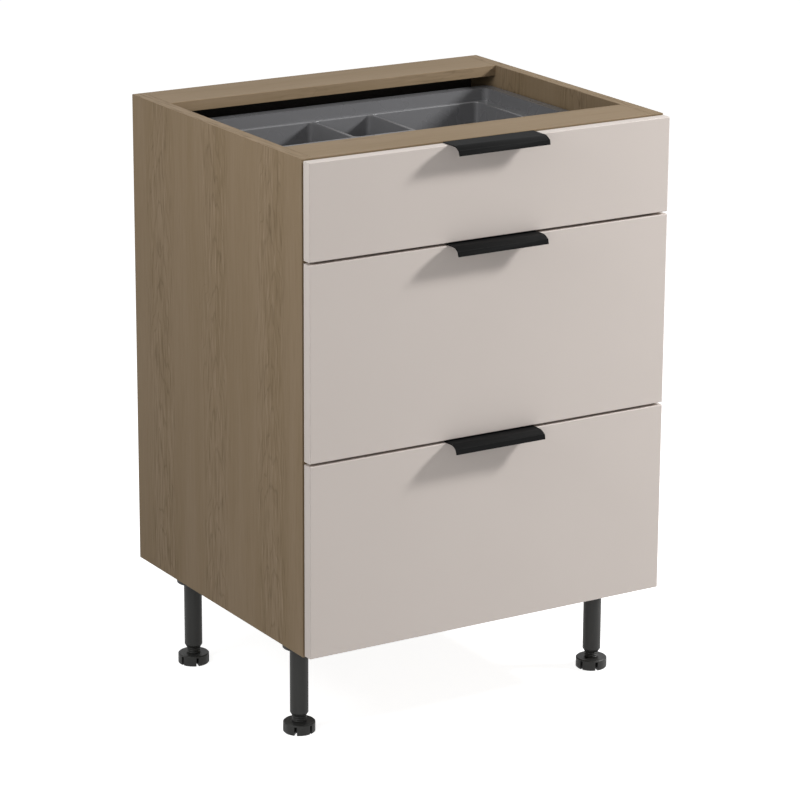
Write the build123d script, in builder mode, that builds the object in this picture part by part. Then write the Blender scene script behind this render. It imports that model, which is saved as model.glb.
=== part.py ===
"""Drawer base cabinet: a board carcass on adjustable legs with three steel-sided drawers on runners."""

import os
from math import cos, radians, sin, tan

from build123d import *

os.makedirs("parts", exist_ok=True)

# All sizes are in millimetres. +X is the right side, -Y the front and +Z up.
# The origin is on the floor, in the middle of the whole cabinet's footprint.

# Carcass boards
carcass_width = 600.0
carcass_depth = 500.0
side_thickness = 19.0
board_thickness = 16.0
front_rail_depth = 80.0
rear_rail_depth = 85.0
back_thickness = 4.0
back_setback = 12.0
groove_depth = 8.0
edge_break = 0.6

# Fit between a piece and its bore, groove or neighbour
fit_play = 0.1

# Dowels and cam fittings that join the boards
dowel_diameter = 8.0
dowel_length = 32.0
dowel_in_side = 12.0
cam_diameter = 15.0
cam_depth = 12.5
cam_reach = 24.0
bolt_diameter = 6.0
bolt_head_diameter = 7.0
bolt_head_length = 4.0
bolt_overrun = 0.5
bolt_in_side = 11.0
bolt_hole_diameter = 8.0
rail_dowel_offset = 22.0
rail_cam_offset = 50.0
bottom_cam_offset = 40.0
bottom_dowel_offset = 140.0

# Countersunk screws, one size for the whole cabinet
screw_diameter = 3.4
screw_head_diameter = 6.0
screw_head_angle = 90.0
screw_length = 13.0

# Legs
leg_height = 150.0
leg_inset_x = 44.0
leg_inset_y = 88.0
socket_diameter = 48.0
socket_height = 20.0
socket_plate = 4.0
socket_wall = 2.0
socket_chamfer = 0.7
socket_screws = 4
leg_tube_diameter = 27.0
leg_tube_wall = 2.6
leg_tube_taper = 2.2
leg_tube_taper_length = 3.5

# Adjustable feet
foot_diameter = 47.0
foot_height = 16.0
foot_chamfer = 1.2
foot_slots = 6
foot_slot_angles = {"front_left": 47.0, "front_right": 17.0, "rear_left": 17.0, "rear_right": 47.0}
foot_slot_width = 4.0
foot_slot_depth = 12.5
foot_slot_height = 13.5
foot_neck = 10.5
stem_length = 75.0
stem_play = 0.3
thread_pitch = 3.0
thread_crest = 0.6
thread_depth = 1.2

# Drawer fronts
front_gap = 3.0
front_thickness = 16.0
front_side_reveal = 1.5
front_bottom_reveal = 3.0
front_top_reveal = 2.0
front_spacing = 4.0
tall_front_height = 284.0
front_edge_radius = 1.2

# Edge handles
handle_length = 150.0
handle_projection = 27.0
handle_sheet = 1.5
handle_bend_radius = 17.4
handle_bend_angle = 44.0
handle_ledge = 1.4
handle_lip_length = 7.5
handle_lip_angle = 77.5
handle_flap_height = 24.0
handle_screw_drop = 14.0
handle_screw_spacing = 96.0

# Runners
runner_lift = 20.0
runner_sheet = 1.5
runner_length = 450.0
runner_setback = 2.0
runner_flange_height = 36.0
runner_lip_height = 9.0
runner_lip_gap = 2.6
runner_screw_height = 27.0
runner_screw_inset = 35.0
slide_length = 430.0
slide_setback = 5.0
slide_inset = 9.0
slide_width = 30.0
slide_height = 9.5
running_gap = 0.4
drawer_runner_leg = 8.0

# Drawer boxes
drawer_length = 430.0
drawer_side_gap = 5.0
drawer_side_thickness = 13.0
drawer_sheet = 1.0
drawer_edge_radius = 2.5
low_side_height = 74.0
tall_side_height = 175.0
drawer_headroom = 17.7
drawer_back_thickness = 16.0
tab_width = 22.0
tab_sheet = 1.5
tab_drop = 8.0
tab_screw_inset = 14.0
bottom_screw_inset = 60.0

# Cutlery tray
tray_wall = 2.0
tray_play = 1.0
tray_flange_setback = 0.5
tray_flange_corner = 14.0
tray_body_corner = 12.0
tray_ledge_drop = 18.0
tray_ledge_side = 20.0
tray_ledge_end = 6.0
tray_rib = 5.0
tray_middle_width = 96.0
tray_rear_pocket_length = 122.0
tray_pocket_corner = 8.0
tray_pocket_edge = 1.8
tray_floor_edge = 4.0
tray_draft = 3.0

# The low drawer fits under the top rails with its headroom, and the fronts with their gaps cover the carcass
slide_floor = runner_sheet + running_gap
slide_roof = slide_floor + slide_height
drawer_runner_roof = slide_roof + running_gap + runner_sheet
low_drawer_top = runner_lift + drawer_runner_roof + low_side_height
top_front_height = low_drawer_top + drawer_headroom + board_thickness - front_top_reveal
fronts_height = 2 * (tall_front_height + front_spacing) + top_front_height
carcass_height = front_bottom_reveal + fronts_height + front_top_reveal

# Places worked out from the sizes above
handle_reach = front_gap + front_thickness + handle_projection
overall_depth = carcass_depth + handle_reach
front_edge = handle_reach - overall_depth / 2
rear_edge = overall_depth / 2
base = leg_height
top = leg_height + carcass_height
inner_half = carcass_width / 2 - side_thickness
rear_rail_front = rear_edge - rear_rail_depth
groove_front = rear_edge - back_setback - back_thickness
groove_rear = rear_edge - back_setback
groove_bottom = base + board_thickness - groove_depth
groove_top = top - board_thickness + groove_depth
front_back = front_edge - front_gap
tab_face = front_back + tab_sheet
drawer_rear = front_back + drawer_length
drawer_back_front = drawer_rear - drawer_back_thickness
drawer_half = inner_half - drawer_side_gap - drawer_side_thickness
drawer_runner_outer = slide_inset - running_gap - runner_sheet
drawer_runner_inner = slide_inset + slide_width + running_gap + runner_sheet
runner_width = drawer_runner_inner + runner_lip_gap + runner_sheet

sides = {"left": -1, "right": 1}
legs = {
    f"{end}_{side}": (sign * (carcass_width / 2 - leg_inset_x), y)
    for end, y in {"front": front_edge + leg_inset_y, "rear": rear_edge - leg_inset_y}.items()
    for side, sign in sides.items()
}

# Each drawer: the height of its front's lower edge, its front's height and its steel side's height
bottom_front_z = base + front_bottom_reveal
middle_front_z = bottom_front_z + tall_front_height + front_spacing
top_front_z = middle_front_z + tall_front_height + front_spacing
drawers = {
    "top": (top_front_z, top_front_height, low_side_height),
    "middle": (middle_front_z, tall_front_height, tall_side_height),
    "bottom": (bottom_front_z, tall_front_height, tall_side_height),
}

# Each row of board joints: the board's middle height, then the cams and the dowels along its depth
bottom_joints = (
    base + board_thickness / 2,
    [front_edge + bottom_cam_offset, rear_edge - bottom_cam_offset],
    [front_edge + bottom_dowel_offset, rear_edge - bottom_dowel_offset],
)
front_rail_joints = (
    top - board_thickness / 2,
    [front_edge + rail_cam_offset],
    [front_edge + rail_dowel_offset],
)
rear_rail_joints = (
    top - board_thickness / 2,
    [rear_rail_front + rail_cam_offset],
    [rear_rail_front + rail_dowel_offset],
)
board_joints = [bottom_joints, front_rail_joints, rear_rail_joints]


def save(builder, name):
    """Label a finished piece and write it to its own file."""
    builder.part.label = name
    export_step(builder.part, f"parts/{name}.step")


def block(x, y, z, mode=Mode.ADD):
    """Add a box between two values on each axis to the open part."""
    spans = (x, y, z)
    with Locations(tuple(sum(span) / 2 for span in spans)):
        Box(*(abs(span[1] - span[0]) for span in spans), mode=mode)


def strip(width, height, mode=Mode.ADD):
    """Add a rectangle between two values on each axis to the open sketch."""
    with Locations((sum(width) / 2, sum(height) / 2)):
        Rectangle(abs(width[1] - width[0]), abs(height[1] - height[0]), mode=mode)


def facing(point, direction):
    """Give the plane at a point whose normal runs along a direction."""
    return Plane(origin=point, z_dir=direction)


def countersinks(spots):
    """Cut a countersunk screw hole at each spot of the open part."""
    with Locations(*spots):
        CounterSinkHole(
            screw_diameter / 2 + fit_play,
            screw_head_diameter / 2 + fit_play,
            depth=screw_length + fit_play,
            counter_sink_angle=screw_head_angle,
        )


def pilot_holes(spots):
    """Cut the part of each screw's hole that lies below its head into the open part."""
    with Locations(*spots):
        Hole(screw_diameter / 2 + fit_play, depth=screw_length + fit_play)


def across(sign, distance):
    """Give the X of a point that lies a distance inside the carcass from a side panel's inner face."""
    return sign * (inner_half - distance)


def bore_board(joints):
    """Cut the cam, bolt and dowel bores into both ends of the open board."""
    middle, cams, dowels = joints
    underside = middle - board_thickness / 2
    for sign in sides.values():
        with Locations(*(facing((across(sign, 0), y, middle), (sign, 0, 0)) for y in cams)):
            Hole(bolt_hole_diameter / 2, depth=cam_reach)
        with Locations(*(facing((across(sign, cam_reach), y, underside), (0, 0, -1)) for y in cams)):
            Hole(cam_diameter / 2 + fit_play, depth=cam_depth + fit_play)
        with Locations(*(facing((across(sign, 0), y, middle), (sign, 0, 0)) for y in dowels)):
            Hole(dowel_diameter / 2 + fit_play, depth=dowel_length - dowel_in_side + fit_play)


def runner_screw_spots(sign, front_z):
    """Give the screws that hold one cabinet runner, on its flange."""
    middle = front_edge + runner_setback + runner_length / 2
    reach = runner_length / 2 - runner_screw_inset
    z = front_z + runner_lift + runner_screw_height
    return [
        facing((across(sign, runner_sheet), y, z), (-sign, 0, 0))
        for y in (middle - reach, middle, middle + reach)
    ]


def tab_screw_spots(sign, board_top, side_top):
    """Give the screws through one drawer side's front tab and through its rear tab."""
    x = across(sign, drawer_side_gap + drawer_side_thickness + tab_width / 2)
    heights = (board_top + tab_screw_inset, side_top - tab_drop - tab_screw_inset)
    front = [facing((x, tab_face, z), (0, 1, 0)) for z in heights]
    rear = [facing((x, drawer_rear + tab_sheet, z), (0, 1, 0)) for z in heights]
    return front, rear


def bottom_screw_spots(sign, runner_z):
    """Give the screws that hold one drawer runner to the drawer bottom above it."""
    x = across(sign, drawer_side_gap + drawer_side_thickness + tab_width / 2)
    z = runner_z + slide_roof + running_gap
    return [
        facing((x, y, z), (0, 0, -1))
        for y in (front_edge + bottom_screw_inset, drawer_rear - bottom_screw_inset)
    ]


def handle_screw_spots(front_top):
    """Give the two screws that hold a handle's flap to the back of its front."""
    y = front_back + handle_sheet
    z = front_top - handle_screw_drop
    return [facing((x, y, z), (0, 1, 0)) for x in (-handle_screw_spacing / 2, handle_screw_spacing / 2)]


# Side panels
for side, sign in sides.items():
    with BuildPart() as side_panel:
        block((sign * carcass_width / 2, sign * inner_half), (front_edge, rear_edge), (base, top))
        chamfer(side_panel.edges(), edge_break)
        block(
            (sign * inner_half, sign * (inner_half + groove_depth)),
            (groove_front - fit_play, groove_rear + fit_play),
            (groove_bottom, groove_top),
            mode=Mode.SUBTRACT,
        )
        for middle, cams, dowels in board_joints:
            with Locations(*(facing((sign * inner_half, y, middle), (-sign, 0, 0)) for y in cams)):
                Hole(bolt_diameter / 2 + fit_play, depth=bolt_in_side + fit_play)
            with Locations(*(facing((sign * inner_half, y, middle), (-sign, 0, 0)) for y in dowels)):
                Hole(dowel_diameter / 2 + fit_play, depth=dowel_in_side + fit_play)
        for front_z, _, _ in drawers.values():
            pilot_holes(runner_screw_spots(sign, front_z))
    save(side_panel, f"{side}_side_panel")

# Leg socket, built once with its seat at the origin
hub_bore = leg_tube_diameter / 2 + fit_play
screw_ring = (hub_bore + socket_diameter / 2) / 2
with BuildPart() as leg_socket:
    with BuildSketch(Plane.XZ):
        strip((0, socket_diameter / 2), (-socket_plate, 0))
        strip((socket_diameter / 2 - socket_wall, socket_diameter / 2), (-socket_height, 0))
        strip((hub_bore, hub_bore + socket_wall), (-socket_height, 0))
    revolve(axis=Axis.Z)
    with PolarLocations(screw_ring, socket_screws, start_angle=180 / socket_screws):
        Box(
            socket_diameter / 2 - hub_bore - socket_wall,
            socket_wall,
            socket_height,
            align=(Align.CENTER, Align.CENTER, Align.MAX),
        )
    chamfer(leg_socket.edges().group_by(Axis.Z)[0].sort_by(SortBy.LENGTH)[-1], socket_chamfer)
    with PolarLocations(screw_ring, socket_screws) as socket_ring:
        socket_spots = [facing((p.position.X, p.position.Y, -socket_plate), (0, 0, -1)) for p in socket_ring]
    countersinks(socket_spots)

leg_screw_spots = [
    facing((x + spot.origin.X, y + spot.origin.Y, base - socket_plate), (0, 0, -1))
    for x, y in legs.values()
    for spot in socket_spots
]

# Bottom panel
with BuildPart() as bottom_panel:
    block((-inner_half, inner_half), (front_edge, rear_edge), (base, base + board_thickness))
    block(
        (-inner_half, inner_half),
        (groove_front - fit_play, groove_rear + fit_play),
        (groove_bottom, base + board_thickness),
        mode=Mode.SUBTRACT,
    )
    bore_board(bottom_joints)
    pilot_holes(leg_screw_spots)
save(bottom_panel, "bottom_panel")

# Front rail
with BuildPart() as front_rail:
    block(
        (-inner_half, inner_half),
        (front_edge, front_edge + front_rail_depth),
        (top - board_thickness, top),
    )
    chamfer(front_rail.edges().filter_by(Axis.X), edge_break)
    bore_board(front_rail_joints)
save(front_rail, "front_rail")

# Rear rail, grooved below for the back panel
with BuildPart() as rear_rail:
    block((-inner_half, inner_half), (rear_rail_front, rear_edge), (top - board_thickness, top))
    chamfer(rear_rail.edges().filter_by(Axis.X), edge_break)
    block(
        (-inner_half, inner_half),
        (groove_front - fit_play, groove_rear + fit_play),
        (top - board_thickness, groove_top),
        mode=Mode.SUBTRACT,
    )
    bore_board(rear_rail_joints)
save(rear_rail, "rear_rail")

# Back panel, held in the grooves all round
back_half = inner_half + groove_depth - fit_play
with BuildPart() as back_panel:
    block(
        (-back_half, back_half),
        (groove_front, groove_rear),
        (groove_bottom + fit_play, groove_top - fit_play),
    )
save(back_panel, "back_panel")

# Dowels
dowel_spots = [
    facing((sign * (inner_half + dowel_in_side), y, middle), (-sign, 0, 0))
    for sign in sides.values()
    for middle, _, dowels in board_joints
    for y in dowels
]
with BuildPart() as carcass_dowels:
    with Locations(*dowel_spots):
        Cylinder(dowel_diameter / 2, dowel_length, align=(Align.CENTER, Align.CENTER, Align.MIN))
    chamfer(carcass_dowels.edges().filter_by(GeomType.CIRCLE), edge_break)
save(carcass_dowels, "carcass_dowels")

# Cam bolts, screwed into the side panels
bolt_spots = [
    facing((sign * (inner_half + bolt_in_side), y, middle), (-sign, 0, 0))
    for sign in sides.values()
    for middle, cams, _ in board_joints
    for y in cams
]
bolt_length = bolt_in_side + cam_reach + bolt_overrun
with BuildPart() as cam_bolt:
    with BuildSketch():
        Circle(bolt_diameter / 2)
    extrude(amount=bolt_length)
    with BuildSketch(Plane.XY.offset(bolt_length)):
        Circle(bolt_head_diameter / 2)
    extrude(amount=-bolt_head_length)
with BuildPart() as cam_bolts:
    with Locations(*bolt_spots):
        add(cam_bolt.part)
save(cam_bolts, "cam_bolts")

# Cam discs, let into the undersides of the boards, with the bolt's hole through one side
cam_spots = [
    Location((across(sign, cam_reach), y, middle - board_thickness / 2), (0, 0, 0 if sign > 0 else 180))
    for sign in sides.values()
    for middle, cams, _ in board_joints
    for y in cams
]
with BuildPart() as cam_disc:
    Cylinder(cam_diameter / 2, cam_depth, align=(Align.CENTER, Align.CENTER, Align.MIN))
    with Locations(facing((cam_diameter / 2, 0, board_thickness / 2), (1, 0, 0))):
        Hole(bolt_head_diameter / 2 + fit_play, depth=cam_diameter / 2 + bolt_overrun + fit_play)
with BuildPart() as cam_discs:
    with Locations(*cam_spots):
        add(cam_disc.part)
save(cam_discs, "cam_discs")

# Screw, built once with its head at the origin and its point below
screw_head_height = (screw_head_diameter - screw_diameter) / 2 / tan(radians(screw_head_angle / 2))
with BuildPart() as screw:
    with BuildSketch(Plane.XZ):
        with BuildLine():
            Polyline(
                (0, 0),
                (screw_head_diameter / 2, 0),
                (screw_diameter / 2, -screw_head_height),
                (screw_diameter / 2, screw_diameter / 2 - screw_length),
                (0, -screw_length),
                close=True,
            )
        make_face()
    revolve(axis=Axis.Z)


def save_screws(name, spots):
    """Write a group of screws, one at each spot."""
    with BuildPart() as screws:
        with Locations(*spots):
            add(screw.part)
    save(screws, name)


save_screws("leg_screws", leg_screw_spots)
all_runner_spots = [
    spot
    for sign in sides.values()
    for front_z, _, _ in drawers.values()
    for spot in runner_screw_spots(sign, front_z)
]
save_screws("runner_screws", all_runner_spots)

# Leg sockets under the bottom panel
with BuildPart() as leg_sockets:
    with Locations(*((x, y, base) for x, y in legs.values())):
        add(leg_socket.part)
save(leg_sockets, "leg_sockets")

# Leg tubes, pushed into the sockets, with a tapered lower end
tube_foot = foot_height + foot_neck
tube_top = base - socket_plate
tube_radius = leg_tube_diameter / 2
tube_bore = tube_radius - leg_tube_wall
for place, (x, y) in legs.items():
    with BuildPart() as leg_tube:
        with BuildSketch(Plane(origin=(x, y, 0), x_dir=(1, 0, 0), z_dir=(0, -1, 0))):
            with BuildLine():
                Polyline(
                    (tube_bore, tube_foot),
                    (tube_radius - leg_tube_taper, tube_foot),
                    (tube_radius, tube_foot + leg_tube_taper_length),
                    (tube_radius, tube_top),
                    (tube_bore, tube_top),
                    close=True,
                )
            make_face()
        revolve(axis=Axis((x, y, 0), (0, 0, 1)))
    save(leg_tube, f"leg_tube_{place}")

# Feet: a slotted disc and a ridged stem that screws up into the tube
stem_radius = tube_bore - stem_play
root_radius = stem_radius - thread_depth
thread_count = int(stem_length / thread_pitch)
thread_flank = (thread_pitch - thread_crest) / 2
for place, (x, y) in legs.items():
    with BuildPart() as foot:
        with BuildSketch():
            with Locations((x, y)):
                Circle(foot_diameter / 2)
        extrude(amount=foot_height)
        chamfer(foot.edges().filter_by(GeomType.CIRCLE), foot_chamfer)
        with Locations((x, y)):
            with PolarLocations(foot_diameter / 2, foot_slots, start_angle=foot_slot_angles[place]):
                Box(
                    2 * foot_slot_depth,
                    foot_slot_width,
                    foot_slot_height,
                    align=(Align.CENTER, Align.CENTER, Align.MIN),
                    mode=Mode.SUBTRACT,
                )
        with BuildSketch(Plane(origin=(x, y, foot_height), x_dir=(1, 0, 0), z_dir=(0, -1, 0))):
            with BuildLine():
                ridges = [(0, 0), (root_radius, 0)]
                for turn in range(thread_count):
                    start = turn * thread_pitch
                    ridges.append((stem_radius, start + thread_flank))
                    ridges.append((stem_radius, start + thread_flank + thread_crest))
                    ridges.append((root_radius, start + thread_pitch))
                Polyline(*ridges, (0, thread_count * thread_pitch), close=True)
            make_face()
        revolve(axis=Axis((x, y, 0), (0, 0, 1)))
    save(foot, f"foot_{place}")

# Runners and drawer boxes
for level, (front_z, front_height, side_height) in drawers.items():
    runner_z = front_z + runner_lift
    board_z = runner_z + drawer_runner_roof
    board_top = board_z + board_thickness
    side_top = board_z + side_height
    front_top = front_z + front_height
    handle_spots = handle_screw_spots(front_top)
    front_spots = list(handle_spots)
    back_spots = []
    bottom_spots = []

    for side, sign in sides.items():
        front_tab_spots, rear_tab_spots = tab_screw_spots(sign, board_top, side_top)
        runner_spots = bottom_screw_spots(sign, runner_z)
        front_spots += front_tab_spots
        back_spots += rear_tab_spots
        bottom_spots += runner_spots

        # Cabinet runner: a channel with a tall flange against the side panel
        runner_front = front_edge + runner_setback
        with BuildPart() as cabinet_runner:
            with BuildSketch(Plane.XZ.offset(-runner_front - runner_length)):
                strip(
                    (across(sign, 0), across(sign, runner_sheet)),
                    (runner_z, runner_z + runner_flange_height),
                )
                strip((across(sign, 0), across(sign, runner_width)), (runner_z, runner_z + runner_sheet))
                strip(
                    (across(sign, runner_width - runner_sheet), across(sign, runner_width)),
                    (runner_z, runner_z + runner_lip_height),
                )
            extrude(amount=runner_length)
            countersinks(runner_screw_spots(sign, front_z))
        save(cabinet_runner, f"cabinet_runner_{level}_{side}")

        # Middle slide: an upturned channel between the two runners
        slide_front = runner_front + slide_setback
        slide_far = slide_inset + slide_width
        with BuildPart() as middle_slide:
            with BuildSketch(Plane.XZ.offset(-slide_front - slide_length)):
                strip(
                    (across(sign, slide_inset), across(sign, slide_far)),
                    (runner_z + slide_floor, runner_z + slide_roof),
                )
                strip(
                    (across(sign, slide_inset + runner_sheet), across(sign, slide_far - runner_sheet)),
                    (runner_z + slide_floor, runner_z + slide_roof - runner_sheet),
                    mode=Mode.SUBTRACT,
                )
            extrude(amount=slide_length)
        save(middle_slide, f"middle_slide_{level}_{side}")

        # Drawer runner: an upturned channel over the slide, under the drawer side and bottom
        with BuildPart() as drawer_runner:
            with BuildSketch(Plane.XZ.offset(-drawer_rear)):
                strip(
                    (across(sign, drawer_runner_outer), across(sign, drawer_runner_inner)),
                    (board_z - drawer_runner_leg, board_z),
                )
                strip(
                    (
                        across(sign, drawer_runner_outer + runner_sheet),
                        across(sign, drawer_runner_inner - runner_sheet),
                    ),
                    (board_z - drawer_runner_leg, board_z - runner_sheet),
                    mode=Mode.SUBTRACT,
                )
            extrude(amount=drawer_rear - front_edge)
            countersinks(runner_spots)
        save(drawer_runner, f"drawer_runner_{level}_{side}")

        # Drawer side: a double-walled steel profile with a tab at each end
        with BuildPart() as drawer_side:
            with BuildSketch(Plane.XZ.offset(-drawer_rear)) as profile:
                strip(
                    (
                        across(sign, drawer_side_gap),
                        across(sign, drawer_side_gap + drawer_side_thickness),
                    ),
                    (board_z, side_top),
                )
                fillet(profile.vertices().group_by(Axis.Z)[-1], drawer_edge_radius)
                offset(amount=-drawer_sheet, mode=Mode.SUBTRACT)
            extrude(amount=drawer_rear - tab_face)
            for tab_front in (front_back, drawer_rear):
                block(
                    (
                        across(sign, drawer_side_gap),
                        across(sign, drawer_side_gap + drawer_side_thickness + tab_width),
                    ),
                    (tab_front, tab_front + tab_sheet),
                    (board_top, side_top - tab_drop),
                )
            countersinks(front_tab_spots + rear_tab_spots)
        save(drawer_side, f"drawer_side_{level}_{side}")

    # Drawer bottom, between the sides and on the drawer runners
    board_half = drawer_half - fit_play
    with BuildPart() as drawer_bottom:
        block((-board_half, board_half), (tab_face, drawer_rear), (board_z, board_top))
        pilot_holes(bottom_spots)
    save(drawer_bottom, f"drawer_bottom_{level}")

    # Drawer back, on the bottom and between the sides
    with BuildPart() as drawer_back:
        block((-board_half, board_half), (drawer_back_front, drawer_rear), (board_top, side_top))
        pilot_holes(back_spots)
    save(drawer_back, f"drawer_back_{level}")

    # Drawer front
    front_half = carcass_width / 2 - front_side_reveal
    with BuildPart() as drawer_front:
        block((-front_half, front_half), (front_back - front_thickness, front_back), (front_z, front_top))
        fillet(drawer_front.faces().sort_by(Axis.Y)[0].edges(), front_edge_radius)
        pilot_holes(front_spots)
    save(drawer_front, f"drawer_front_{level}")

    # Handle: flap behind the front, plate over its top edge, bend, ledge and lip in front of it
    plate_top = front_top + handle_sheet
    bend_angle = radians(handle_bend_angle)
    lip_angle = radians(handle_lip_angle)
    tip = front_edge - handle_reach
    lip_reach = handle_ledge + handle_lip_length * cos(lip_angle)
    bend_y = tip + lip_reach + handle_bend_radius * sin(bend_angle)
    bend_z = plate_top - handle_bend_radius
    inner_radius = handle_bend_radius - handle_sheet

    def on_bend(radius, angle):
        """Give a point on the handle's bend, at an angle from its start."""
        return (bend_y - radius * sin(angle), bend_z + radius * cos(angle))

    bend_end = on_bend(handle_bend_radius, bend_angle)
    ledge_end = (bend_end[0] - handle_ledge, bend_end[1])
    lip_end = (
        ledge_end[0] - handle_lip_length * cos(lip_angle),
        ledge_end[1] - handle_lip_length * sin(lip_angle),
    )
    lip_inner = (
        lip_end[0] + handle_sheet * sin(lip_angle),
        lip_end[1] - handle_sheet * cos(lip_angle),
    )
    flap_bottom = front_top - handle_flap_height
    with BuildPart() as handle:
        with BuildSketch(Plane.YZ.offset(-handle_length / 2)):
            with BuildLine():
                Polyline(
                    (front_back, flap_bottom),
                    (front_back + handle_sheet, flap_bottom),
                    (front_back + handle_sheet, plate_top),
                    (bend_y, plate_top),
                )
                ThreePointArc((bend_y, plate_top), on_bend(handle_bend_radius, bend_angle / 2), bend_end)
                Polyline(bend_end, ledge_end, lip_end, lip_inner, on_bend(inner_radius, bend_angle))
                ThreePointArc(
                    on_bend(inner_radius, bend_angle),
                    on_bend(inner_radius, bend_angle / 2),
                    (bend_y, front_top),
                )
                Polyline((bend_y, front_top), (front_back, front_top), (front_back, flap_bottom))
            make_face()
        extrude(amount=handle_length)
        countersinks(handle_spots)
    save(handle, f"handle_{level}")

    save_screws(f"drawer_screws_{level}", front_spots + back_spots + bottom_spots)

# Cutlery tray, hung by its flange on the top drawer's sides and back
tray_front_z, _, tray_side_height = drawers["top"]
tray_floor = tray_front_z + runner_lift + drawer_runner_roof + board_thickness
tray_seat = tray_front_z + runner_lift + drawer_runner_roof + tray_side_height
tray_rim = tray_seat + tray_wall
pocket_floor = tray_floor + tray_wall
tray_ledge = tray_rim - tray_ledge_drop
flange_half = inner_half - drawer_side_gap - tray_flange_setback
flange_front = tab_face + tray_flange_setback
flange_rear = drawer_rear - tray_flange_setback
body_half = drawer_half - tray_play
body_front = tab_face + tray_play + tray_flange_setback
body_rear = drawer_back_front - tray_play
pocket_side = body_half - tray_wall - tray_ledge_side
pocket_front = body_front + tray_wall + tray_ledge_end
pocket_rear = body_rear - tray_wall - tray_ledge_end
rib_inner = tray_middle_width / 2
rib_outer = rib_inner + tray_rib
cross_rear = pocket_rear - tray_rear_pocket_length
cross_front = cross_rear - tray_rib
pockets = [
    ((-pocket_side, -rib_outer), (cross_rear, pocket_rear)),
    ((-pocket_side, -rib_outer), (pocket_front, cross_front)),
    ((-rib_inner, rib_inner), (cross_rear, pocket_rear)),
    ((-rib_inner, rib_inner), (pocket_front, cross_front)),
    ((rib_outer, pocket_side), (pocket_front, pocket_rear)),
]


def rounded(x, y, corner, grow=0.0):
    """Add a rounded rectangle between two values on each axis, grown all round, to the open sketch."""
    with Locations((sum(x) / 2, sum(y) / 2)):
        RectangleRounded(x[1] - x[0] + 2 * grow, y[1] - y[0] + 2 * grow, corner + grow)


with BuildPart() as cutlery_tray:
    with BuildSketch(Plane.XY.offset(tray_rim)):
        rounded((-flange_half, flange_half), (flange_front, flange_rear), tray_flange_corner)
    extrude(amount=-tray_wall)
    with BuildSketch(Plane.XY.offset(tray_rim)):
        rounded((-body_half, body_half), (body_front, body_rear), tray_body_corner)
    extrude(amount=-tray_ledge_drop - tray_wall)
    with BuildSketch(Plane.XY.offset(tray_rim)):
        rounded((-body_half, body_half), (body_front, body_rear), tray_body_corner, grow=-tray_wall)
    extrude(amount=-tray_ledge_drop, taper=tray_draft, mode=Mode.SUBTRACT)
    for x, y in pockets:
        with BuildSketch(Plane.XY.offset(tray_ledge)):
            rounded(x, y, tray_pocket_corner, grow=tray_wall)
        extrude(amount=tray_floor - tray_ledge, taper=tray_draft)
    for x, y in pockets:
        with BuildSketch(Plane.XY.offset(tray_ledge)):
            rounded(x, y, tray_pocket_corner)
        extrude(amount=pocket_floor - tray_ledge, taper=tray_draft, mode=Mode.SUBTRACT)
        rims = cutlery_tray.edges().filter_by_position(Axis.Z, tray_ledge - fit_play, tray_ledge + fit_play)
        rim = rims.filter_by_position(Axis.X, *x).filter_by_position(Axis.Y, *y)
        fillet(rim, tray_pocket_edge)
    floors = cutlery_tray.faces().filter_by_position(
        Axis.Z, pocket_floor - tray_wall / 2, pocket_floor + tray_wall / 2
    )
    fillet(floors.edges(), tray_floor_edge)
save(cutlery_tray, "cutlery_tray")
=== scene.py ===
"""Looks of the drawer base cabinet: the finish of every piece, the floor, the light, the camera."""

import logging
import math
from dataclasses import dataclass
from enum import Enum
from typing import Any

import bpy
from mathutils import Matrix, Vector

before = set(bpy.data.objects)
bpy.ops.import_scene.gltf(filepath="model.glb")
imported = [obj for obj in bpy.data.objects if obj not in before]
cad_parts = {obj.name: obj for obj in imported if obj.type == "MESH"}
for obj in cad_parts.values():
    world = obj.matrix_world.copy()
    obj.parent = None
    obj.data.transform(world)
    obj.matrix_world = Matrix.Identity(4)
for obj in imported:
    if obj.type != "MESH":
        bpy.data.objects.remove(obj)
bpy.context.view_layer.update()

log = logging.getLogger("cabinet")

SIDES = ("left", "right")
LEVELS = ("top", "middle", "bottom")
LEG_PLACES = ("front_left", "front_right", "rear_left", "rear_right")
RUNNER_PARTS = ("cabinet_runner", "middle_slide", "drawer_runner")

# Metres in a millimetre, the unit of the sizes of edges and patterns below
MM = 0.001
# Millimetres within which the corners of neighbouring CAD faces count as one
WELD_GAP = 0.005
# Facets across a rounded edge
EDGE_FACETS = 2
# Octaves of a soft noise and of one with finer parts
SOFT_DETAIL = 1.0
FINE_DETAIL = 2.0
# Degrees that raise a camera from looking straight down to level
LEVEL_GAZE = 90.0

Socket = bpy.types.NodeSocket
Tree = bpy.types.NodeTree


class Grain(Enum):
    """The axis along which a board's grain runs."""

    ALONG_X = "X"
    ALONG_Z = "Z"


def colour(hex_code: str) -> tuple[float, float, float, float]:
    """Turn an sRGB hex code into a linear colour.

    Args:
        hex_code: Six hex digits, such as "8a7460".

    Returns:
        Red, green, blue and alpha, linear.
    """
    # The numbers are those of the sRGB standard's curve.
    channels = [int(hex_code[i:i + 2], 16) / 255 for i in (0, 2, 4)]
    linear = [c / 12.92 if c <= 0.04045 else ((c + 0.055) / 1.055) ** 2.4 for c in channels]
    return (*linear, 1.0)


def per_mm(size: float) -> float:
    """Give the texture scale, per metre, of a pattern whose features are a size in millimetres."""
    return 1 / (size * MM)


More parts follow.
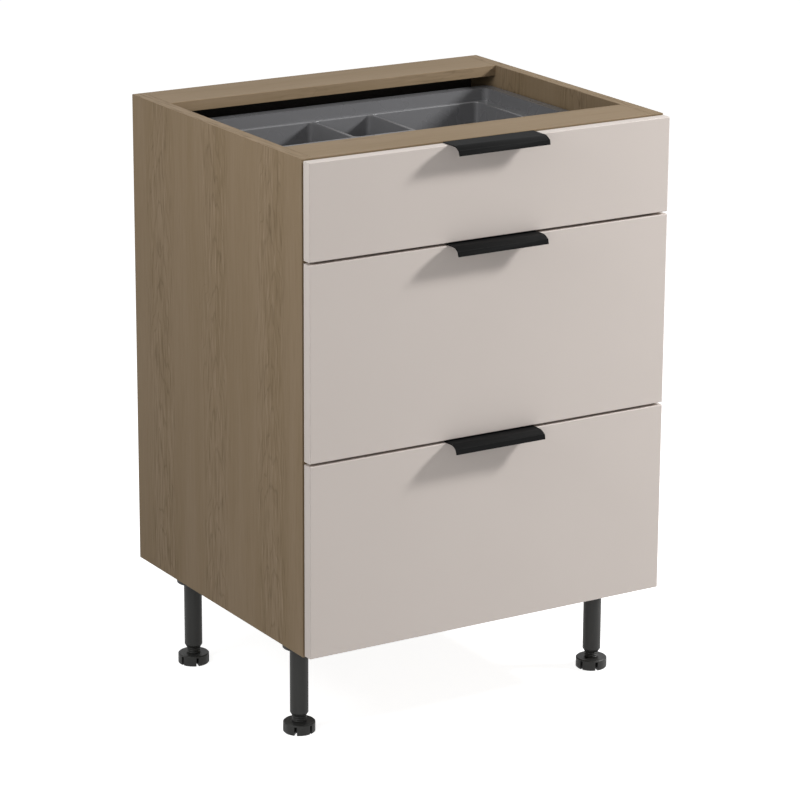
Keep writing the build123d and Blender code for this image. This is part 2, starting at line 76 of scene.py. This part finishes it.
def add_node(
    tree: Tree, kind: str, inputs: dict[Any, Any] | None = None, **settings: Any
) -> bpy.types.Node:
    """Add a node with its settings, values and links.

    A Mix node has its factor at place 0, numbers at 2 and 3, vectors at 4 and 5 and colours at
    6 and 7. Its results for these three kinds are at 0, 1 and 2.

    Args:
        tree: The node tree that gets the node.
        kind: The node's type, without the words ShaderNode.
        inputs: A value or an output socket for each input, by name or place.
        settings: The node's own properties.

    Returns:
        The new node.
    """
    node = tree.nodes.new("ShaderNode" + kind)
    for name, value in settings.items():
        setattr(node, name, value)
    for key, value in (inputs or {}).items():
        if isinstance(value, Socket):
            tree.links.new(value, node.inputs[key])
        else:
            node.inputs[key].default_value = value
    return node


def soften(piece: bpy.types.Object, radius: float, angle: float = 35.0) -> None:
    """Round a piece's sharp edges, as handling and finishing do on the real one.

    Args:
        piece: The piece whose edges are rounded.
        radius: The width of the rounding in millimetres.
        angle: The least angle in degrees between two faces whose edge is rounded.
    """
    weld = piece.modifiers.new("joined_faces", "WELD")
    weld.merge_threshold = WELD_GAP * MM
    bevel = piece.modifiers.new("soft_edges", "BEVEL")
    bevel.width = radius * MM
    bevel.segments = EDGE_FACETS
    bevel.limit_method = "ANGLE"
    bevel.angle_limit = math.radians(angle)
    bevel.harden_normals = True


@dataclass(frozen=True)
class Finish:
    """A surface that can be put on pieces, with its shader's values that are the same all over."""

    name: str
    roughness: float
    ior: float = 1.5
    metallic: float = 0.0
    specular: float = 0.5

    def pattern(self, tree: Tree, space: Socket) -> dict[str, Any]:
        """Give the shader inputs that vary over the surface.

        Args:
            tree: The material's node tree.
            space: Object coordinates in metres.

        Returns:
            Sockets or values by the name of the shader's input.
        """
        raise NotImplementedError

    def material(self) -> bpy.types.Material:
        """Make the finish's material, or take the one made before.

        Returns:
            The material.
        """
        made = bpy.data.materials.get(self.name)
        if made:
            return made
        made = bpy.data.materials.new(self.name)
        made.use_nodes = True
        tree = made.node_tree
        tree.nodes.clear()
        space = add_node(tree, "TexCoord").outputs["Object"]
        shader = add_node(
            tree,
            "BsdfPrincipled",
            {
                "Roughness": self.roughness,
                "Metallic": self.metallic,
                "IOR": self.ior,
                "Specular IOR Level": self.specular,
                **self.pattern(tree, space),
            },
        )
        add_node(tree, "OutputMaterial", {"Surface": shader.outputs[0]})
        return made

    def dress(self, *pieces: bpy.types.Object) -> None:
        """Put the finish on pieces, in place of what they have.

        Args:
            pieces: The pieces that get the finish in their first slot.
        """
        for piece in pieces:
            piece.data.materials.clear()
            piece.data.materials.append(self.material())
            log.info("%s: %s", piece.name, self.name)


@dataclass(frozen=True)
class OakDecor(Finish):
    """Melamine-faced board with a printed and embossed brown oak decor.

    The print gives a quiet ground with soft changes of tone and a few bands along the grain.
    A band is full of short fine strokes, some paler and some darker than the ground, with thin
    nested arcs among them. The embossing follows the dark strokes, and the surface is matt.
    The finest strokes of the print are under 1 mm wide, too fine to show, and are drawn coarser.
    Sizes are in millimetres, apart from the shift of the board on its sheet, which is in metres.
    A range gives the levels of a noise between which a mark goes from nothing to its full depth.
    """

    grain: Grain = Grain.ALONG_Z
    shift: float = 0.0
    edge_slope: float = 0.7
    light: str = "8f7c64"
    mid: str = "857258"
    dark: str = "5b4a35"
    pale: str = "a08c75"
    noise_roughness: float = 0.55
    tone_width: float = 42.0
    tone_length: float = 420.0
    fibre_width: float = 7.0
    fibre_length: float = 120.0
    fibre_share: float = 0.3
    ground_range: tuple[float, float] = (0.3, 0.7)
    plank_width: float = 165.0
    band_width: float = 92.0
    band_heart: float = 0.1
    quiet: float = 0.2
    wander_width: float = 60.0
    wander_length: float = 170.0
    wander: float = 30.0
    arc_rise: float = 330.0
    arc_step: float = 64.0
    arc_start: float = 40.0
    arc_play: float = 2.6
    play_width: float = 23.0
    play_length: float = 96.0
    arc_range: tuple[float, float] = (0.37, 0.5)
    arc_depth: float = 0.27
    stroke_width: float = 3.6
    stroke_length: float = 44.0
    stroke_range: tuple[float, float] = (0.53, 0.76)
    stroke_depth: float = 0.46
    pale_range: tuple[float, float] = (0.47, 0.24)
    pale_depth: float = 0.6
    emboss: float = 0.1
    emboss_strength: float = 0.5
    gloss_loss: float = 0.12

    def grain_space(self, tree: Tree, space: Socket) -> Socket:
        """Turn the coordinates to the grain, also on the banded top and bottom edges.

        Args:
            tree: The material's node tree.
            space: Object coordinates in metres.

        Returns:
            Coordinates whose first axis follows the grain.
        """
        axes = add_node(tree, "SeparateXYZ", {0: space}).outputs
        if self.grain is Grain.ALONG_X:
            turned = add_node(tree, "CombineXYZ", {0: axes[0], 1: axes[1], 2: axes[2]}).outputs[0]
        else:
            face = add_node(tree, "CombineXYZ", {0: axes[2], 1: axes[1], 2: axes[0]}).outputs[0]
            edge = add_node(tree, "CombineXYZ", {0: axes[1], 1: axes[0], 2: axes[2]}).outputs[0]
            normal = add_node(tree, "TexCoord").outputs["Normal"]
            upward = add_node(tree, "SeparateXYZ", {0: normal}).outputs[2]
            steep = add_node(tree, "Math", {0: upward}, operation="ABSOLUTE").outputs[0]
            is_edge = add_node(
                tree, "Math", {0: steep, 1: self.edge_slope}, operation="GREATER_THAN"
            ).outputs[0]
            mix = {0: is_edge, 4: face, 5: edge}
            turned = add_node(tree, "Mix", mix, data_type="VECTOR").outputs[1]
        place = (self.shift, self.shift, 0)
        return add_node(tree, "VectorMath", {0: turned, 1: place}, operation="ADD").outputs[0]

    def streaks(
        self, tree: Tree, space: Socket, width: float, length: float, detail: float
    ) -> Socket:
        """Draw a noise out along the grain.

        Args:
            tree: The material's node tree.
            space: Coordinates whose first axis follows the grain.
            width: A streak's width in millimetres.
            length: A streak's length in millimetres.
            detail: The noise's octaves.

        Returns:
            The noise, from 0 to 1.
        """
        scale = (per_mm(length), per_mm(width), per_mm(width))
        drawn = add_node(tree, "VectorMath", {0: space, 1: scale}, operation="MULTIPLY").outputs[0]
        noise = add_node(
            tree,
            "TexNoise",
            {"Vector": drawn, "Scale": 1.0, "Detail": detail, "Roughness": self.noise_roughness},
        )
        return noise.outputs["Fac"]

    def bands(self, tree: Tree, space: Socket) -> tuple[Socket, Socket]:
        """Draw the grained bands, one along the middle of each plank of the print.

        Args:
            tree: The material's node tree.
            space: Coordinates whose first axis follows the grain.

        Returns:
            The thin lines of the nested arcs, and a factor that is 1 in the middle of a band.
        """
        axes = add_node(tree, "SeparateXYZ", {0: space}).outputs
        sway = self.streaks(tree, space, self.wander_width, self.wander_length, FINE_DETAIL)
        reach = self.wander * MM
        swing = {"Value": sway, "To Min": -reach, "To Max": reach}
        aside = add_node(tree, "MapRange", swing).outputs[0]
        across = add_node(tree, "Math", {0: axes[1], 1: aside}).outputs[0]
        planks = add_node(
            tree, "Math", {0: across, 1: per_mm(self.plank_width)}, operation="MULTIPLY"
        ).outputs[0]
        number = add_node(tree, "Math", {0: planks}, operation="FLOOR").outputs[0]
        chance = add_node(
            tree, "TexWhiteNoise", {"W": number}, noise_dimensions="1D"
        ).outputs["Value"]
        place = add_node(tree, "Math", {0: planks}, operation="FRACT").outputs[0]

        # The offset from a band's middle is 1 at the band's edge, and the arcs climb by its square.
        half = self.plank_width / self.band_width
        span = {"Value": place, "To Min": -half, "To Max": half}
        offset = add_node(tree, "MapRange", span).outputs[0]
        squared = add_node(tree, "Math", {0: offset, 1: offset}, operation="MULTIPLY").outputs[0]
        climb = add_node(
            tree, "Math", {0: squared, 1: self.arc_rise / self.arc_step}, operation="MULTIPLY"
        ).outputs[0]
        steps = add_node(
            tree, "Math", {0: axes[0], 1: per_mm(self.arc_step)}, operation="MULTIPLY"
        ).outputs[0]
        start = add_node(tree, "MapRange", {"Value": chance, "To Max": self.arc_start}).outputs[0]
        stray = self.streaks(tree, space, self.play_width, self.play_length, FINE_DETAIL)
        stray = add_node(tree, "MapRange", {"Value": stray, "To Max": self.arc_play}).outputs[0]
        arcs = steps
        for part in (climb, start, stray):
            arcs = add_node(tree, "Math", {0: arcs, 1: part}).outputs[0]

        # The line's level runs up to half a step midway between two whole steps, and back.
        first, last = self.arc_range
        line = add_node(tree, "Math", {0: arcs, 1: last}, operation="PINGPONG").outputs[0]
        levels = {"Value": line, "From Min": first, "From Max": last}
        thin = add_node(tree, "MapRange", levels).outputs[0]
        inside = add_node(
            tree,
            "MapRange",
            {"Value": squared, "From Min": 1.0, "From Max": self.band_heart},
            interpolation_type="SMOOTHSTEP",
        ).outputs[0]
        return add_node(tree, "Math", {0: thin, 1: inside}, operation="MULTIPLY").outputs[0], inside

    def ground(self, tree: Tree, along: Socket) -> Socket:
        """Paint the quiet ground between the marks.

        Args:
            tree: The material's node tree.
            along: Coordinates whose first axis follows the grain.

        Returns:
            The ground's colour.
        """
        tone = self.streaks(tree, along, self.tone_width, self.tone_length, SOFT_DETAIL)
        fibre = self.streaks(tree, along, self.fibre_width, self.fibre_length, SOFT_DETAIL)
        both = add_node(tree, "Mix", {0: self.fibre_share, 2: tone, 3: fibre}).outputs[0]
        low, high = self.ground_range
        levels = {"Value": both, "From Min": low, "From Max": high}
        soft = add_node(tree, "MapRange", levels).outputs[0]
        mix = {0: soft, 6: colour(self.mid), 7: colour(self.light)}
        return add_node(tree, "Mix", mix, data_type="RGBA").outputs[2]

    def pattern(self, tree: Tree, space: Socket) -> dict[str, Any]:
        """Print the decor and emboss it along its dark strokes.

        Args:
            tree: The material's node tree.
            space: Object coordinates in metres.

        Returns:
            The decor's colour, gloss and relief by the name of the shader's input.
        """
        along = self.grain_space(tree, space)
        arcs, band = self.bands(tree, along)
        weight = add_node(tree, "MapRange", {"Value": band, "To Min": self.quiet}).outputs[0]
        grainy = self.streaks(tree, along, self.stroke_width, self.stroke_length, FINE_DETAIL)
        strokes = []
        for (first, last), depth in (
            (self.stroke_range, self.stroke_depth),
            (self.pale_range, self.pale_depth),
        ):
            levels = {"Value": grainy, "From Min": first, "From Max": last, "To Max": depth}
            stroke = add_node(tree, "MapRange", levels).outputs[0]
            faded = add_node(tree, "Math", {0: stroke, 1: weight}, operation="MULTIPLY")
            strokes.append(faded.outputs[0])
        fine, bright = strokes
        faint = add_node(tree, "Math", {0: arcs, 1: self.arc_depth}, operation="MULTIPLY")
        marks = add_node(tree, "Math", {0: faint.outputs[0], 1: fine}, use_clamp=True).outputs[0]

        painted = self.ground(tree, along)
        for share, paint in ((bright, self.pale), (marks, self.dark)):
            mix = {0: share, 6: painted, 7: colour(paint)}
            painted = add_node(tree, "Mix", mix, data_type="RGBA").outputs[2]
        low = add_node(tree, "Math", {0: 1.0, 1: marks}, operation="SUBTRACT").outputs[0]
        relief = add_node(
            tree,
            "Bump",
            {"Height": low, "Strength": self.emboss_strength, "Distance": self.emboss * MM},
        )
        rough, rougher = self.roughness, self.roughness + self.gloss_loss
        gloss = add_node(tree, "MapRange", {"Value": marks, "To Min": rough, "To Max": rougher})
        return {"Base Color": painted, "Roughness": gloss.outputs[0], "Normal": relief.outputs[0]}


@dataclass(frozen=True)
class TwoTone(Finish):
    """A surface whose colour plays between two tones, and its gloss about the roughness."""

    base: str = "808080"
    tone: str = "787878"
    gloss_play: float = 0.04

    def shade(self, tree: Tree, tint: Socket, gloss: Socket) -> dict[str, Any]:
        """Give the colour and the gloss by two factors.

        Args:
            tree: The material's node tree.
            tint: Where the colour is between its two tones, from 0 to 1.
            gloss: Where the roughness is between its lowest and highest, from 0 to 1.

        Returns:
            Sockets by the name of the shader's input.
        """
        mix = {0: tint, 6: colour(self.base), 7: colour(self.tone)}
        painted = add_node(tree, "Mix", mix, data_type="RGBA")
        low, high = self.roughness - self.gloss_play, self.roughness + self.gloss_play
        rough = add_node(tree, "MapRange", {"Value": gloss, "To Min": low, "To Max": high})
        return {"Base Color": painted.outputs[2], "Roughness": rough.outputs[0]}


@dataclass(frozen=True)
class Speckled(TwoTone):
    """A plain surface with faint clouds of tone and a fine raised texture.

    Lacquer and powder coat have the soft dimples of a sprayed film, and moulded plastic
    has the fine grit of its mould. Sizes are in millimetres.
    """

    cloud_size: float = 60.0
    grit_size: float = 1.2
    grit_depth: float = 0.02
    grit_strength: float = 0.6

    def pattern(self, tree: Tree, space: Socket) -> dict[str, Any]:
        """Cloud the tone and gloss, and raise the grit.

        Args:
            tree: The material's node tree.
            space: Object coordinates in metres.

        Returns:
            The tone, gloss and relief by the name of the shader's input.
        """
        cloud, grit = (
            add_node(
                tree, "TexNoise", {"Vector": space, "Scale": per_mm(size), "Detail": FINE_DETAIL}
            ).outputs["Fac"]
            for size in (self.cloud_size, self.grit_size)
        )
        relief = add_node(
            tree,
            "Bump",
            {"Height": grit, "Strength": self.grit_strength, "Distance": self.grit_depth * MM},
        )
        return {**self.shade(tree, cloud, cloud), "Normal": relief.outputs[0]}


@dataclass(frozen=True)
class DrawnMetal(TwoTone):
    """Metal with the fine lines of drawing or brushing along the X axis, such as a profile.

    Sizes are in millimetres.
    """

    gloss_play: float = 0.05
    line_width: float = 0.5
    line_length: float = 40.0
    line_depth: float = 0.01
    line_strength: float = 0.4

    def pattern(self, tree: Tree, space: Socket) -> dict[str, Any]:
        """Draw the lines in tone, gloss and relief.

        Args:
            tree: The material's node tree.
            space: Object coordinates in metres.

        Returns:
            The tone, gloss and relief by the name of the shader's input.
        """
        scale = (per_mm(self.line_length), per_mm(self.line_width), per_mm(self.line_width))
        drawn = add_node(tree, "VectorMath", {0: space, 1: scale}, operation="MULTIPLY").outputs[0]
        line = add_node(
            tree, "TexNoise", {"Vector": drawn, "Scale": 1.0, "Detail": FINE_DETAIL}
        ).outputs["Fac"]
        relief = add_node(
            tree,
            "Bump",
            {"Height": line, "Strength": self.line_strength, "Distance": self.line_depth * MM},
        )
        return {**self.shade(tree, line, line), "Normal": relief.outputs[0]}


@dataclass(frozen=True)
class ZincCoat(TwoTone):
    """Zinc-coated steel or die-cast zinc, with crystals that catch the light one by one.

    The crystals' size is in millimetres.
    """

    base: str = "b4b6b8"
    tone: str = "96999c"
    gloss_play: float = 0.08
    crystal_size: float = 7.0

    def pattern(self, tree: Tree, space: Socket) -> dict[str, Any]:
        """Give each crystal its own tone and gloss.

        Args:
            tree: The material's node tree.
            space: Object coordinates in metres.

        Returns:
            The tone and gloss by the name of the shader's input.
        """
        cells = add_node(tree, "TexVoronoi", {"Vector": space, "Scale": per_mm(self.crystal_size)})
        parts = add_node(tree, "SeparateColor", {0: cells.outputs["Color"]}).outputs
        return self.shade(tree, parts[0], parts[1])


# Sprayed and rubbed lacquer on fibreboard: an even greige face, satin, with the faintest dimples.
LACQUER = Speckled(
    "greige_lacquer",
    roughness=0.42,
    base="d4cac3",
    tone="d1c7c0",
    cloud_size=140.0,
    grit_size=1.6,
    grit_depth=0.012,
)

# Aluminium profile, drawn, etched and dyed black: a matt black with hardly a gleam along its bends.
# The drawing lines are about 0.1 mm apart on the real one, too fine to show, and are drawn coarser.
HANDLE_BLACK = DrawnMetal(
    "black_anodised_aluminium", roughness=0.68, specular=0.06, base="141414", tone="1a1a1a"
)

# Moulded polypropylene: soft black with a waxy gleam. The mould's grit, about 0.2 mm, is drawn
# coarser.
LEG_PLASTIC = Speckled(
    "black_polypropylene",
    roughness=0.5,
    ior=1.49,
    specular=0.3,
    base="2b2b2a",
    tone="30302e",
    grit_size=0.9,
)

# Vacuum-formed polystyrene sheet: smooth grey with bright lines along the rounded rims of the
# pockets. The sheet's grain, about 0.2 mm, is drawn coarser.
TRAY_PLASTIC = Speckled(
    "grey_polystyrene",
    roughness=0.28,
    ior=1.59,
    base="747476",
    tone="6d6d6f",
    grit_size=0.8,
    grit_depth=0.008,
)

# Powder coat on folded steel sheet: dark grey and half matt, with the dimples of the melted powder.
DRAWER_STEEL = Speckled(
    "dark_grey_powder_coat", roughness=0.5, base="3a3b3d", tone="404143", grit_size=1.0
)

# Lacquered thin hardboard, a flat brown black that takes no highlight. The brown black is painted
# shade: it stands in for the shade in the slot behind the drawers.
BACK_BOARD_PAINTED_SHADE = Speckled(
    "hardboard_in_painted_shade",
    roughness=0.6,
    specular=0.3,
    base="2c2926",
    tone="322e2a",
    grit_size=2.5,
)

# Melamine-faced chipboard: plain dark grey, matt, with a shallow pearl texture.
DRAWER_BOARD = Speckled(
    "dark_grey_melamine", roughness=0.55, base="3b3c3e", tone="434446", grit_size=2.0
)

# Galvanised steel sheet: cool silver with the patches of its zinc crystals.
RUNNER_ZINC = ZincCoat("galvanised_sheet", roughness=0.38, metallic=1.0)

# Zinc plate on steel: brighter and finer than the sheet. Its crystals, under 0.1 mm, are drawn
# coarser.
FASTENER_ZINC = ZincCoat(
    "zinc_plate", roughness=0.3, metallic=1.0, base="c4c6c8", tone="b0b2b6", crystal_size=2.0
)

# Die-cast zinc: dull silver grey, as it comes from the mould. Its crystals are drawn coarser.
CAM_ZINC = ZincCoat(
    "die_cast_zinc", roughness=0.42, metallic=1.0, base="b0b1b2", tone="9c9d9f", crystal_size=3.0
)

# Turned beech: pale tan, with the streaks of its fibres along the dowel.
BEECH = OakDecor(
    "beech_dowel",
    roughness=0.6,
    grain=Grain.ALONG_X,
    light="d8b98e",
    mid="cba979",
    dark="a98356",
    pale="e0c49c",
)


def oak(name: str, grain: Grain, shift: float) -> OakDecor:
    """Give the oak decor for one board, cut from its own place of the sheet."""
    return OakDecor(name, roughness=0.58, specular=0.12, grain=grain, shift=shift)


@dataclass
class Carcass:
    """The boards of the carcass and the fittings that join them.

    The decor of each board starts at its own place of the sheet, in metres.
    """

    boards: tuple[tuple[str, Grain], ...] = (
        ("left_side_panel", Grain.ALONG_Z),
        ("right_side_panel", Grain.ALONG_Z),
        ("bottom_panel", Grain.ALONG_X),
        ("front_rail", Grain.ALONG_X),
        ("rear_rail", Grain.ALONG_X),
    )
    sheet_start: float = 0.0585
    sheet_step: float = 1.37

    def dress(self) -> None:
        """Put decor on the boards, a back face darkened as painted shade, and metal or beech on the
        fittings.
        """
        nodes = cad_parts
        for place, (board, grain) in enumerate(self.boards):
            shift = self.sheet_start + place * self.sheet_step
            oak(f"oak_decor_{board}", grain, shift).dress(nodes[board])
        # The back panel's dark face is painted shade for the slot behind the drawers.
        BACK_BOARD_PAINTED_SHADE.dress(nodes["back_panel"])
        BEECH.dress(nodes["carcass_dowels"])
        CAM_ZINC.dress(nodes["cam_discs"])
        FASTENER_ZINC.dress(nodes["cam_bolts"], nodes["leg_screws"], nodes["runner_screws"])


@dataclass
class Legs:
    """The adjustable legs under the carcass."""

    places: tuple[str, ...] = LEG_PLACES

    def dress(self) -> None:
        """Put black plastic on the sockets, tubes and feet."""
        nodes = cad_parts
        LEG_PLASTIC.dress(nodes["leg_sockets"])
        for place in self.places:
            LEG_PLASTIC.dress(nodes[f"leg_tube_{place}"], nodes[f"foot_{place}"])


@dataclass
class Drawer:
    """One drawer: its front, handle, steel box and runners.

    The rounding of the handle's edges is in millimetres.
    """

    level: str
    handle_edge: float = 0.25

    def dress(self) -> None:
        """Put the finishes on the drawer's pieces and on its runners."""
        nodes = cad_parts
        LACQUER.dress(nodes[f"drawer_front_{self.level}"])
        HANDLE_BLACK.dress(nodes[f"handle_{self.level}"])
        soften(nodes[f"handle_{self.level}"], self.handle_edge)
        DRAWER_BOARD.dress(nodes[f"drawer_bottom_{self.level}"], nodes[f"drawer_back_{self.level}"])
        FASTENER_ZINC.dress(nodes[f"drawer_screws_{self.level}"])
        for side in SIDES:
            DRAWER_STEEL.dress(nodes[f"drawer_side_{self.level}_{side}"])
            for member in RUNNER_PARTS:
                RUNNER_ZINC.dress(nodes[f"{member}_{self.level}_{side}"])


@dataclass
class CutleryTray:
    """The moulded tray in the top drawer."""

    node: str = "cutlery_tray"

    def dress(self) -> None:
        """Put grey plastic on the tray."""
        TRAY_PLASTIC.dress(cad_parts[self.node])


@dataclass
class Lamp:
    """A square softbox that points at a spot, with its places and width in metres."""

    name: str
    place: tuple[float, float, float]
    aim: tuple[float, float, float]
    width: float
    watts: float

    def build(self) -> None:
        """Add the lamp to the scene."""
        light = bpy.data.lights.new(self.name, "AREA")
        light.size = self.width
        light.energy = self.watts
        lamp = bpy.data.objects.new(self.name, light)
        lamp.location = self.place
        gaze = Vector(self.aim) - Vector(self.place)
        lamp.rotation_euler = gaze.to_track_quat("-Z", "Y").to_euler()
        bpy.context.scene.collection.objects.link(lamp)


@dataclass
class Studio:
    """The pale floor, the white surroundings, the softboxes and the camera.

    Places are in metres, the lens is in millimetres and the camera's angles are in degrees.
    """

    floor_half: float = 20.0
    floor_colour: str = "d0d0d0"
    floor_glow: float = 0.9
    ambient: float = 0.17
    lens: float = 157.5
    sight: float = 100.0
    camera_place: tuple[float, float, float] = (-2.5994, -4.2461, 1.9201)
    camera_turn: float = 31.449
    camera_tilt: float = 16.708
    camera_roll: float = 0.3
    lamps: tuple[Lamp, ...] = (
        Lamp("key_softbox", (2.05, -1.17, 1.96), (0.0, -0.2, 0.5), 0.4, 70.0),
        Lamp("left_softbox", (-1.5, -0.3, 1.5), (0.0, 0.0, 0.8), 0.8, 11.5),
        Lamp("top_softbox", (0.0, 0.3, 3.0), (0.0, 0.0, 0.8), 1.2, 8.5),
        Lamp("fill_softbox", (-2.2, -2.6, 0.95), (0.0, 0.0, 0.5), 1.2, 12.5),
    )

    def seen(self, tree: Tree) -> Socket:
        """Tell the light that the camera sees from the light that falls on things.

        Args:
            tree: The node tree of the floor's material or of the world.

        Returns:
            A factor that is 1 for what the camera sees, straight or in gloss and glass.
        """
        path = add_node(tree, "LightPath").outputs
        straight = add_node(tree, "Math", {0: path["Is Camera Ray"], 1: path["Is Glossy Ray"]})
        through = add_node(
            tree, "Math", {0: straight.outputs[0], 1: path["Is Transmission Ray"]}, use_clamp=True
        )
        return through.outputs[0]

    def build_floor(self) -> None:
        """Add the floor, which glows towards the camera and still takes the cabinet's shadow."""
        half = self.floor_half
        mesh = bpy.data.meshes.new("floor")
        corners = [(-half, -half, 0), (half, -half, 0), (half, half, 0), (-half, half, 0)]
        mesh.from_pydata(corners, [], [(0, 1, 2, 3)])
        floor = bpy.data.objects.new("floor", mesh)
        bpy.context.scene.collection.objects.link(floor)
        material = bpy.data.materials.new("pale_floor")
        material.use_nodes = True
        tree = material.node_tree
        tree.nodes.clear()
        paint = add_node(tree, "BsdfDiffuse", {"Color": colour(self.floor_colour)})
        glow = add_node(
            tree, "Math", {0: self.seen(tree), 1: self.floor_glow}, operation="MULTIPLY"
        )
        light = add_node(tree, "Emission", {"Strength": glow.outputs[0]})
        both = add_node(tree, "AddShader", {0: paint.outputs[0], 1: light.outputs[0]})
        add_node(tree, "OutputMaterial", {"Surface": both.outputs[0]})
        mesh.materials.append(material)

    def build_world(self) -> None:
        """Surround the scene with soft light that looks white to the camera."""
        world = bpy.data.worlds.new("studio")
        world.use_nodes = True
        tree = world.node_tree
        tree.nodes.clear()
        level = add_node(tree, "MapRange", {"Value": self.seen(tree), "To Min": self.ambient})
        light = add_node(
            tree, "Background", {"Color": colour("ffffff"), "Strength": level.outputs[0]}
        )
        add_node(tree, "OutputWorld", {"Surface": light.outputs[0]})
        bpy.context.scene.world = world

    def build_camera(self) -> None:
        """Add the camera at the photograph's viewing angle."""
        data = bpy.data.cameras.new("camera")
        data.lens = self.lens
        data.clip_end = self.sight
        camera = bpy.data.objects.new("camera", data)
        turn = Matrix.Rotation(-math.radians(self.camera_turn), 4, "Z")
        tilt = Matrix.Rotation(math.radians(LEVEL_GAZE - self.camera_tilt), 4, "X")
        roll = Matrix.Rotation(math.radians(self.camera_roll), 4, "Z")
        camera.matrix_world = Matrix.Translation(self.camera_place) @ turn @ tilt @ roll
        bpy.context.scene.collection.objects.link(camera)
        bpy.context.scene.camera = camera

    def build(self) -> None:
        """Build the floor, the surroundings, the lamps and the camera."""
        self.build_floor()
        self.build_world()
        self.build_camera()
        for lamp in self.lamps:
            lamp.build()
        bpy.context.scene.view_settings.view_transform = "Standard"


def main() -> None:
    """Dress the cabinet piece by piece and set it in the studio."""
    logging.basicConfig(level=logging.INFO)
    Carcass().dress()
    Legs().dress()
    for level in LEVELS:
        Drawer(level).dress()
    CutleryTray().dress()
    Studio().build()


if __name__ == "__main__":
    main()
